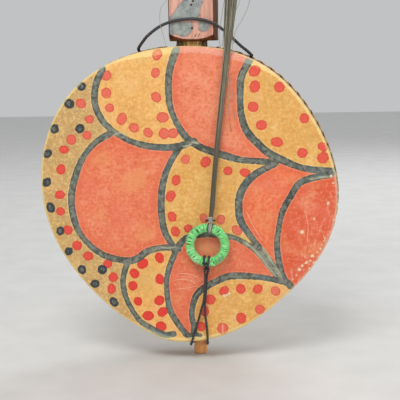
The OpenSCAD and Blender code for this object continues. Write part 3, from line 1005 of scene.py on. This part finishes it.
def yarn_look():
    look = Look("green_yarn", 0.85, Specular_IOR_Level=0.15, Sheen_Weight=0.35, Sheen_Roughness=0.4)
    speck = look.noise(1.1, 4, 0.65)
    colour = look.layers(
        look.attribute("tone").ramp((0.0, rgb(66, 158, 88)), (0.3, rgb(118, 218, 124)),
                                    (0.75, rgb(158, 240, 158)), (1.0, rgb(200, 250, 192))),
        (look.noise(0.22, 4, 0.65, 0.5).step(0.54, 0.7) * 0.65, rgb(78, 178, 112)),
        (speck.step(0.55, 0.72) * 0.4, rgb(66, 150, 84)),
    )
    look.finish(colour, speck, 0.3)


def iron_look():
    look = Look("iron", 0.5, Metallic=0.9)
    rust = look.noise(0.9, 5, 0.65)
    colour = rust.ramp((0.35, rgb(52, 46, 44)), (0.6, rgb(84, 58, 44)), (0.75, rgb(120, 72, 44)))
    look.finish(colour, rust, 0.15)


# ---------------------------------------------------------------- pieces that start from the CAD shapes


def cad_mesh(node, angle=40.0, voxel=None):
    """A copy of a CAD node's mesh, welded, or rebuilt in even faces of that many millimetres."""
    mesh = NODES[node].data.copy()
    work = bmesh.new()
    work.from_mesh(mesh)
    bmesh.ops.remove_doubles(work, verts=work.verts, dist=1e-6)
    for edge in work.edges:
        edge.smooth = edge.calc_face_angle(0.0) < math.radians(angle)
    for face in work.faces:
        face.smooth = True
    work.to_mesh(mesh)
    work.free()
    if voxel is None:
        return mesh
    rough = bpy.data.objects.new("rough", mesh)
    bpy.context.scene.collection.objects.link(rough)
    remesh = rough.modifiers.new("remesh", "REMESH")
    remesh.mode = "VOXEL"
    remesh.voxel_size = voxel * MM
    even = bpy.data.meshes.new_from_object(rough.evaluated_get(bpy.context.evaluated_depsgraph_get()))
    bpy.data.objects.remove(rough)
    even.polygons.foreach_set("use_smooth", [True] * len(even.polygons))
    return even


def mesh_points(mesh):
    points = np.zeros(len(mesh.vertices) * 3)
    mesh.vertices.foreach_get("co", points)
    return points.reshape(-1, 3) / MM


def mesh_normals(mesh):
    normals = np.zeros(len(mesh.vertices) * 3)
    mesh.vertex_normals.foreach_get("vector", normals)
    return normals.reshape(-1, 3)


def move_points(mesh, points):
    mesh.vertices.foreach_set("co", (points * MM).ravel())
    mesh.update()


def relax(mesh, rounds):
    """Softens the steps of an evenly faced mesh without shrinking it much."""
    pairs = np.zeros(len(mesh.edges) * 2, int)
    mesh.edges.foreach_get("vertices", pairs)
    a, b = pairs.reshape(-1, 2).T
    points = mesh_points(mesh)
    count = np.bincount(np.r_[a, b], minlength=len(points))[:, None]
    for i in range(2 * rounds):
        total = np.zeros_like(points)
        np.add.at(total, a, points[b])
        np.add.at(total, b, points[a])
        points = points + (0.5 if i % 2 == 0 else -0.52) * (total / count - points)
    move_points(mesh, points)


def waves(points, length, seed, count=7):
    """A smooth random height from -1 to 1 at each point, with bumps about that far apart."""
    draw = np.random.default_rng(seed)
    total = np.zeros(len(points))
    for _ in range(count):
        way = draw.normal(size=3)
        way *= 2 * math.pi / length * draw.uniform(0.6, 1.4) / np.linalg.norm(way)
        total += np.sin(points @ way + draw.uniform(0, 6.28))
    return total / math.sqrt(count) / 1.4


HANDLE_LOW = 322.0
# Patches of grey-blue on the front of the neck, X and Z.
BLUE_PATCHES = [
    [(-23, 343), (-17, 352), (-11, 359), (-7, 363), (-6, 380), (-7, 430), (-5, 500), (3, 520), (10, 500),
     (12, 430),
     (12, 372), (9, 354), (5, 344), (-8, 343)],
    [(-24, 340), (-1, 340), (0, 334), (-3, 329), (-7, 326), (-16, 328), (-24, 329)],
    [(6, 340), (16, 339), (17, 334), (14, 331), (7, 332)],
]
NECK_MARKS = [[(4.4, 328.9), (2.6, 326.6), (1.8, 324.8)], [(6.9, 328.3), (5.9, 326.4), (5.3, 324.8)]]
FOOT_TOP = 30.0


def ring_distance(p, ring):
    """Distance from a closed outline, below zero inside it."""
    closed = np.asarray(ring + ring[:1], float)
    distance = line_distance(p, smooth_line(closed, 4))[0]
    return np.where(inside(p, closed[:-1]), -distance, distance)


def carved(node, voxel, rounds, depth):
    """A CAD shape in even faces, softened, and raised by depth; and its points and normals."""
    mesh = cad_mesh(node, voxel=voxel)
    relax(mesh, rounds)
    points, normals = mesh_points(mesh), mesh_normals(mesh)
    points += normals * depth(points, normals)[:, None]
    move_points(mesh, points)
    return mesh, points, normals


def neck_depth(points, normals):
    """Knife cuts on the handle's sides and back, and a face that isn't quite flat."""
    facing = -normals[:, 1]
    handle = fade(points[:, 2], HANDLE_LOW, HANDLE_LOW + 3)
    side = handle * np.clip(1.6 - 2 * np.abs(facing), 0, 1)
    back = handle * np.clip(-facing, 0, 1)
    cuts = np.abs(waves(points * [1, 1, 0.35], 26, 3)) * 0.9
    depth = 0.3 * waves(points, 60, 4) + side * (0.25 - 0.6 * cuts) + back * (0.2 - 0.5 * cuts)
    return depth * handle * fade(np.hypot(points[:, 1], points[:, 2] - PEG_Z), 8, 12)


def make_neck():
    mesh, points, normals = carved("neck", 1.0, 3, neck_depth)
    facing = -normals[:, 1]
    flat = points[:, [0, 2]]
    height = points[:, 2]
    handle = fade(height, HANDLE_LOW, HANDLE_LOW + 3)
    blue = np.min([ring_distance(flat, patch) for patch in BLUE_PATCHES], axis=0)
    marks = np.min([line_distance(flat, smooth_line(line, 3))[0] for line in NECK_MARKS], axis=0) - 0.35
    painted = fade(facing, 0.86, 0.96) * handle * fade(-points[:, 1], 12, 13)
    cut = fade(facing, 0.25, 0.45) * fade(facing, 0.95, 0.89) * fade(height, 346, 343)
    add_piece("neck_carved", mesh, "painted_wood", "neck", painted=painted, cut=cut * handle,
              blue_gap=np.clip(blue, -8, 30), mark_gap=np.clip(marks, -1, 20),
              foot=fade(height, FOOT_TOP, FOOT_TOP - 4))


def make_hoop():
    """The bent wood, its front corner rounded off under the skin's turn."""
    mesh = cad_mesh("hoop", angle=30.0)
    points = mesh_points(mesh)
    x, z = points[:, 0] - BODY_AT[0], points[:, 2] - BODY_AT[1]
    a = np.arctan2(z, x)
    r = turn_radius(a)
    out = np.hypot(x, z) - rim_radius(a) + r
    back = points[:, 1] - FRONT_Y - SKIN_GAP - r
    reach = np.hypot(out, back)
    pull = np.where((out > 0) & (back < 0) & (reach > r - 0.6), (r - 0.6) / np.maximum(reach, 1e-6), 1)
    points[:, 0] += out * (pull - 1) * np.cos(a)
    points[:, 2] += out * (pull - 1) * np.sin(a)
    points[:, 1] += back * (pull - 1)
    move_points(mesh, points)
    add_piece("hoop_bent", mesh, "hoop_wood", "hoop")


def make_peg():
    def depth(points, _):
        return 0.35 * waves(points, 17, 6) * fade(np.abs(points[:, 0]), 25, 29)

    add_piece("peg_carved", carved("tuning_peg", 0.8, 4, depth)[0], "peg_wood", "tuning_peg", body=PEG)


def make_collar():
    def depth(points, _):
        outer = fade(np.hypot(points[:, 0] + 2.3, points[:, 1] * 1.6), 11, 14)
        return outer * 0.45 * waves(points * [1, 1, 0.4], 5, 12)

    mesh, points, _ = carved("neck_collar", 0.5, 2, depth)
    stain = fade(np.abs(points[:, 0] + 0.8), 5.5, 11.5)
    add_piece("collar_hide", mesh, "hide_collar", "neck_collar", stain=stain)


def dress(node, material):
    """Gives a CAD node that is shown as it is its material."""
    mesh = NODES[node].data
    mesh.materials.clear()
    mesh.materials.append(LOOKS[material])


# ---------------------------------------------------------------- lacing

LACE_RUNS = [(-34, 32, 1), (41, 111, -1)]
LACE_REACH = 14.0
# The thong's section, in half widths and half thicknesses.
THONG_SHAPE = [
    (1, 0), (0.8, 0.75), (0.3, 1), (-0.3, 1), (-0.8, 0.75), (-1, 0), (-0.8, -0.75), (-0.3, -1), (0.3, -1),
    (0.8, -0.75),
]


def make_lacing():
    """Each thong crosses the hoop, dives through a slit in the skin's edge and comes up at the next."""
    parts = []
    draw = np.random.default_rng(21)
    for first, last, way in LACE_RUNS:
        for i in range(first, last + 1):
            low, high = i * LACE_STEP, (i + 1) * LACE_STEP
            start, end = (low, high) if (i % 2 == 0) == (way == 1) else (high, low)
            reach = LACE_REACH + draw.uniform(-0.5, 0.5)
            stray = draw.uniform(-0.25, 0.25) * LACE_STEP * 0.4
            t = np.linspace(-1, 1, 17)
            out = 0.75 + 0.2 * np.cos(t * 3) - 1.9 * fade(np.abs(t), 0.86, 1)
            angle = start + (end - start) * (t + 1) / 2 + stray * (1 - t * t)
            line = rim_point(angle, out, t * (reach + 0.6))
            parts.append(strap_parts(line, 1.2 * draw.uniform(0.9, 1.08), 0.55, draw.uniform(-0.25, 0.25)))
    add_parts("lacing_thong", parts, "thong", "lacing")


def strap_parts(line, half_width, half_thick, lean):
    """A flat strip with round edges, laid on the rim along the line."""
    out = unit((line - [BODY_AT[0], 0, BODY_AT[1]]) * [1, 0, 1])
    t = unit(np.gradient(line, axis=0))
    flat = unit(np.cross(out, t))
    side = flat * math.cos(lean) + np.cross(t, flat) * math.sin(lean)
    up = np.cross(t, side)
    rings = [line + half_width * a * side + half_thick * b * up for a, b in THONG_SHAPE]
    return np.stack(rings, axis=1).reshape(-1, 3), tube_faces(len(line), len(THONG_SHAPE))


# ---------------------------------------------------------------- the hair string

# X, Y, Z, half width and half depth of the bundle.
STRING_ROUTE = [
    (60, -10.2, 592, 12, 1.0), (52, -18, 500, 9.5, 1.3), (44, -25.5, 410, 7.6, 1.6),
    (40, -29.3, 360, 6, 1.9),
    (37.6, -31.6, 334, 4.8, 2.1), (36.2, -32.9, 318, 3.6, 2.3), (34.4, -33.4, 302, 3, 2.4),
    (29.7, -35, 263, 2.6, 2.4),
    (25.1, -36.5, 224, 2.4, 2.4), (20.9, -38.1, 184.5, 2.3, 2.3), (18.9, -38.9, 162, 2.3, 2.3),
    (17.9, -39.4, 153, 2.2, 2.2),
    (16.9, -40, 147.9, 1.7, 1.7), (16.5, -40.4, 143.1, 1.6, 1.6),
]
STRAY_HAIRS = [
    [(50, -20, 488), (24, -22, 455), (-4, -22, 415), (-20, -22, 380), (-24, -23, 362), (-30, -24, 354),
     (-31, -24, 340), (-28, -25, 328), (-25, -29, 318)],
    [(44, -26, 400), (37, -28, 372), (33, -29, 358), (30, -30, 341), (28, -30, 331), (27.5, -30, 324),
     (29, -31, 315)],
    [(41, -28, 372), (36.5, -29, 356), (34, -30, 345), (32.5, -31, 331), (31, -32, 316)],
    [(55, -22, 440), (52, -24, 390), (48.5, -27, 360), (44.4, -29, 350), (42.4, -30, 340),
     (41.2, -31, 325), (40.5, -31.4, 311)],
    [(64, -18, 470), (62, -22, 400), (58, -26, 360), (51, -28, 342), (46, -30, 334), (43, -31, 327),
     (42, -31.5, 318)],
    [(36, -34, 306), (37.5, -34, 290), (40, -32.5, 268), (42, -31.5, 244)],
    [(35, -34.5, 300), (36.5, -34.5, 278), (36, -33.5, 255), (38, -32, 232)],
    [(31, -35.5, 284), (31, -35, 262), (28, -35.5, 236), (24, -37.5, 214)],
    [(27, -36.5, 240), (23, -36, 224), (20.5, -36.5, 204), (20, -38.2, 182)],
]


def bundle_frames():
    """The bundle's middle, its two cross directions, and half its width and depth, along its length."""
    route = even_line(smooth_line(STRING_ROUTE, 6), 7.0)
    centre = route[:, :3]
    t = unit(np.gradient(centre, axis=0))
    wide = unit(np.cross(np.tile([0.0, 1.0, 0.0], (len(t), 1)), t))
    return centre, wide, np.cross(t, wide), route[:, 3], route[:, 4]


def make_string():
    centre, wide, deep, half_wide, half_deep = bundle_frames()
    draw = np.random.default_rng(31)

    def beside(reach_wide, reach_deep):
        return centre + (reach_wide * half_wide)[:, None] * wide + (reach_deep * half_deep)[:, None] * deep

    core = np.stack([beside(0.8 * math.cos(a), 0.72 * math.sin(a)) for a in circle(12)], axis=1)
    parts = [(core.reshape(-1, 3), tube_faces(len(centre), 12))]
    tones = [0.12]
    s = np.linspace(0, 1, len(centre))
    for _ in range(150):
        reach = math.sqrt(draw.uniform(0.3, 1.0))
        turn = draw.uniform(0, 2 * math.pi) + draw.uniform(-1.1, 1.1) * s
        turn += 0.25 * np.sin(s * draw.uniform(5, 14) + draw.uniform(0, 6))
        line = beside(reach * np.cos(turn), reach * np.sin(turn))
        parts.append(tube(line, draw.uniform(0.2, 0.34), 4))
        tones.append(draw.uniform(0.15, 1.0))
    for route in STRAY_HAIRS:
        parts.append(tube(even_line(smooth_line(route, 6), 3.0), 0.28, 5))
        tones.append(draw.uniform(0.75, 1.0))
    # the hair's end goes round the ring's tube, and its trimmed ends stand out at both sides of the knot
    for x in (14.3, 14.9, 17.7, 18.3):
        parts.append(tube(ring_loop(x, 0.3, 1, draw.uniform(-0.05, 0.05)), 0.35, 6, closed=True))
        tones.append(draw.uniform(0.2, 0.6))
    for k in range(34):
        way = 1 if k % 2 else -1
        reach, lift = draw.uniform(3.2, 5.6), draw.uniform(-1.4, 0.6)
        foot = np.array([16.6, -40.2, 144.6 + draw.uniform(-0.8, 0.8)])
        bend = foot + [way * 2.4, draw.uniform(-1.4, 0.2), 0.3]
        end = foot + [way * reach, draw.uniform(-1.2, 1.0), lift]
        parts.append(tube(smooth_line([foot, bend, end], 3), 0.24, 4))
        tones.append(draw.uniform(0.0, 0.25))
    add_parts("string_hair", parts, "horsehair", "string", tones=tones,
              tone_share=lambda points: 0.5 + 0.5 * fade(points[:, 2], 170, 280))


def make_winding():
    """Hair wound round the peg, in two layers that cross, over a solid core."""
    parts, tones = [], []
    draw = np.random.default_rng(41)
    left, right = 47.0, 73.4
    for radius, pitch, size, first in ((7.2, 1.55, 0.85, 0.3), (8.15, -2.3, 0.6, 2.0)):
        turns = (right - left) / abs(pitch)
        count = int(turns * 22)
        a = np.linspace(0, 2 * math.pi * turns, count) + first
        x = np.linspace(left, right, count) if pitch > 0 else np.linspace(right, left, count)
        r = radius + 0.12 * np.sin(a * 0.37)
        line = np.stack([x + 0.3 * np.sin(a * 0.21), -r * np.cos(a), PEG_Z + r * np.sin(a)], axis=1)
        parts.append(rope(line, size, 8, 3, 9.0, 0.2, first=(1, 0, 0)))
        tones.append(draw.uniform(0.35, 0.6))
    parts.append(tube(even_line([[46.4, 0, PEG_Z], [74.0, 0, PEG_Z]], 2.0), 6.9, 24, first=(0, 1, 0)))
    add_parts("winding_hair", parts, "horsehair", "string_winding", tones=tones + [0.1], body=PEG)


# ---------------------------------------------------------------- the tail ring

RING_AT = np.array([13.1, -39.1, 119.8])
RING_TILT = math.radians(4.8)
RING_R = 17.7
RING_TUBE_R = 4.3


def ring_point(around, across, r):
    """The point at that angle round the ring, and that angle and radius round its tube."""
    reach = RING_R + r * np.cos(across)
    x, y, z = reach * np.cos(around), r * np.sin(across) + 0 * reach, reach * np.sin(around)
    c, s = math.cos(RING_TILT), math.sin(RING_TILT)
    return RING_AT + np.stack([x, y * c - z * s, y * s + z * c], axis=-1)


def ring_loop(x, clear, up, lean=0.0):
    """One turn round the tube at that X, at the ring's top or bottom."""
    around = up * math.acos((x - RING_AT[0]) / RING_R)
    across = circle(28)
    return ring_point(around + lean * np.sin(across), across, RING_TUBE_R + clear + 0.1)


def make_ring():
    """Yarn wound over the wire: uneven turns, some of them crossing, with loose fibres."""
    draw = np.random.default_rng(51)
    parts, tones = [], []
    turns = 78
    for k in range(turns):
        around = 2 * math.pi * (k + draw.uniform(-0.25, 0.25)) / turns
        across = circle(20)
        lean = 0.085 + draw.uniform(-0.05, 0.06)
        base = 3.34 + draw.uniform(-0.12, 0.16)
        lump = 0.14 * np.sin(across * 2 + draw.uniform(0, 6)) + 0.1 * np.sin(across * 3 + draw.uniform(0, 6))
        line = ring_point(around + lean * np.sin(across + draw.uniform(-0.4, 0.4)), across, base + lump)
        parts.append(rope(line, draw.uniform(0.86, 1.04), 8, 2, 3.4, 0.26, closed=True))
        tones.append(draw.uniform(0.35, 0.85))
    # strands that run across the turns, as in a stitched wrapping
    s = np.linspace(0, 1, 9)
    for _ in range(70):
        around = 2 * math.pi * draw.uniform(0, 1)
        start = draw.uniform(0, 2 * math.pi)
        span = draw.uniform(0.14, 0.34)
        sweep = draw.uniform(-1.2, 1.2)
        line = ring_point(around + span * s, start + sweep * s, 3.95 + 0.38 * np.sin(math.pi * s))
        parts.append(rope(line, 0.52, 6, 2, 3.0, 0.25))
        tones.append(draw.choice([0.05, 0.25, 0.6, 0.95]))
    # loose fibres
    s = np.linspace(0, 1, 5)
    for _ in range(900):
        around = 2 * math.pi * draw.uniform(0, 1)
        across = draw.uniform(0, 2 * math.pi)
        lift = 3.9 + draw.uniform(0.5, 1.2) * np.sin(math.pi * np.clip(s * draw.uniform(0.55, 1.0), 0, 1))
        line = ring_point(around + draw.uniform(-0.14, 0.14) * s, across + draw.uniform(-0.6, 0.6) * s, lift)
        parts.append(tube(line, 0.07, 3))
        tones.append(draw.uniform(0.5, 1.0))
    add_parts("ring_yarn", parts, "green_yarn", "ring_wrap", tones=tones)


# ---------------------------------------------------------------- cords

TAIL_ROUTE = [
    (9.6, -38.4, 94.3), (10, -38.7, 90), (9.9, -38, 84), (9.1, -37.1, 73), (7.9, -36, 62.7),
    (6, -35.1, 56), (3.1, -33.9, 46),
    (-0.2, -32.9, 35.7), (-3, -32.3, 27.3), (-4.9, -32, 20.6), (-6.4, -30.2, 15.4), (-7.6, -22, 13.8),
    (-8.2, -10, 12),
    (-7.7, 0, 9.6), (-5.5, 5.5, 9.3), (0, 7.7, 9.3), (5.5, 5.5, 9.3), (7.7, 0, 9.5), (8.8, -10, 11.6),
    (9.7, -22, 14.2),
    (10.2, -30, 16.4), (10.6, -31.8, 21.2), (10.4, -32.1, 27), (9.9, -32.6, 35.8), (8.9, -33.2, 46),
    (8.7, -33.6, 56),
    (9.3, -33.9, 62.7), (10.4, -35, 73), (11.2, -35.8, 84), (12, -36.3, 89.5), (13.3, -37.2, 94.3),
]
TAIL_R = 1.2
# Each side of the hitch: how far it is turned from the ring's lowest point, inside the ring and outside it,
# in radians.
HITCH_TURNS = [(-0.289, -0.094), (0.091, -0.026)]
STRAP_R = 1.6
STRAP_HOLES = (46 * LACE_STEP, 27 * LACE_STEP)
STRAP_IN_HOLE = [(-12.6, 0), (-9, 0), (-5, 0), (-1, 0), (1.2, -0.4), (2.8, -2.4)]
STRAP_ACROSS = [
    (-55.8, -6.6, 315.6), (-51.4, -11, 321), (-45, -14.6, 327.6), (-34, -15.7, 335.6), (-22, -15.8, 340.6),
    (-7, -15.8, 343), (8, -15.8, 342.4), (20, -15.8, 338.6), (30, -15.4, 332.4), (39.5, -14.6, 323.8),
    (47, -12.6, 316.4), (53.2, -8, 311),
]


BINDING_ENDS = [
    [(16.4, -42.6, 143.6), (16.2, -44.6, 139.6), (16.3, -43.4, 134.6), (16.0, -42.8, 131.2)],
    [(15.2, -42.0, 146.5), (13.8, -42.4, 147.8), (12.9, -41.6, 147.4)],
]


def off_rim(angle, out, y):
    """The point straight out of the rim at that angle."""
    here = rim_point(angle, 0, y)
    ahead = rim_point(angle + 0.01, 0, y) - rim_point(angle - 0.01, 0, y)
    ahead /= np.linalg.norm(ahead)
    return here + out * np.array([ahead[2], 0, -ahead[0]])


def make_strap():
    left, right = STRAP_HOLES
    route = [off_rim(left, out, y) for out, y in STRAP_IN_HOLE] + STRAP_ACROSS
    route += [off_rim(right, out, y) for out, y in STRAP_IN_HOLE[::-1]]
    line = even_line(smooth_line(route, 8), 0.8)
    strap = add_parts("strap_twine", [rope(line, STRAP_R, 16, 3, 11.0, 0.14)], "black_cord", "strap_cord")
    off_rim(left, 0, 0) * MM


def make_tail():
    line = even_line(smooth_line(TAIL_ROUTE, 8), 0.6)
    add_parts("tail_twine", [rope(line, TAIL_R, 14, 2, 7.0, 0.2)], "black_cord", "tail_cord")
    parts = []
    across = circle(28)
    for within, beyond in HITCH_TURNS:
        turn = (within + beyond) / 2 + (beyond - within) / 2 * np.cos(across)
        line = ring_point(turn - math.pi / 2, across, RING_TUBE_R + TAIL_R)
        parts.append(rope(line, TAIL_R, 14, 2, 4.6, 0.2, closed=True))
    # one turn of the cord holds its two sides together below the ring
    a = circle(24)
    loop = np.stack([11.6 + 2.3 * np.cos(a), -38.1 + 1.9 * np.sin(a), 94.9 + 0.5 * np.sin(a)], axis=1)
    parts.append(rope(loop, 1.1, 10, 2, 4.0, 0.18, closed=True))
    add_parts("hitch_twine", parts, "black_cord", "tail_hitch")


def make_binding():
    """Pale thread round the end of the hair and round the ring."""
    draw = np.random.default_rng(61)
    low, high = np.array([16.5, -40.4, 143.0]), np.array([16.9, -40.0, 147.8])
    a = np.linspace(0, 2 * math.pi * 6, 140)
    s = a / a[-1]
    r = 1.75 + 0.3 * np.sin(math.pi * s) + 0.15 * np.sin(a * 0.6)
    line = low + s[:, None] * (high - low)
    line += np.stack([r * np.cos(a), r * np.sin(a), 0.5 * np.sin(a * 0.9)], axis=1)
    parts = [tube(line, 0.45, 6, first=(0, 0, 1))]
    for x in (15.4, 16.2, 17.0):
        parts.append(tube(ring_loop(x, 0.5, 1, draw.uniform(-0.05, 0.05)), 0.42, 6, closed=True))
    for route in BINDING_ENDS:
        parts.append(tube(even_line(smooth_line(route, 4), 0.8), 0.32, 5))
    add_parts("binding_wraps", parts, "binding_thread", "string_binding")


def make_tuft():
    """A tuft of undyed fibre caught in the ring, at the lower right."""
    draw = np.random.default_rng(71)
    parts = []
    s = np.linspace(0, 1, 6)
    for _ in range(26):
        around = -0.86 + draw.uniform(-0.09, 0.09)
        across = 5.0 + draw.uniform(-0.4, 0.4)
        lift = 4.3 + draw.uniform(0.4, 1.6) * s
        line = ring_point(around + draw.uniform(-0.08, 0.08) * s, across + draw.uniform(-0.5, 0.5) * s, lift)
        parts.append(tube(line, 0.12, 4))
    add_parts("ring_tuft", parts, "binding_thread")


# ---------------------------------------------------------------- making it all

painted_skin_look()
plain_skin_look()
wood_look("hoop_wood", around_hoop, rgb(120, 80, 46), rgb(170, 124, 78))
wood_look("wedge_wood", upright, rgb(150, 104, 60), rgb(196, 150, 100))
wood_look("peg_wood", sideways, rgb(84, 48, 26), rgb(138, 84, 46), roughness=0.4)
painted_wood_look()
thong_look()
hide_look()
hair_look()
twine_look("black_cord", rgb(24, 24, 27), rgb(78, 78, 84), roughness=0.5)
twine_look("waxed_thread", rgb(18, 16, 15), rgb(52, 46, 42), roughness=0.45)
twine_look("binding_thread", rgb(128, 130, 126), rgb(214, 212, 204))
yarn_look()
iron_look()

make_camera()
make_studio()
make_strap()
make_skins()
make_hoop()
make_lacing()
make_neck()
make_collar()
make_string()
make_binding()
make_ring()
make_tuft()
make_tail()
make_peg()
make_winding()
for node, look_name in {
    "hoop_nails": "iron",
    "neck_nails": "iron",
    "ring_core": "iron",
    "tang_wedge": "wedge_wood",
    "collar_stitches": "waxed_thread",
    "strap_knots": "black_cord",
}.items():
    dress(node, look_name)
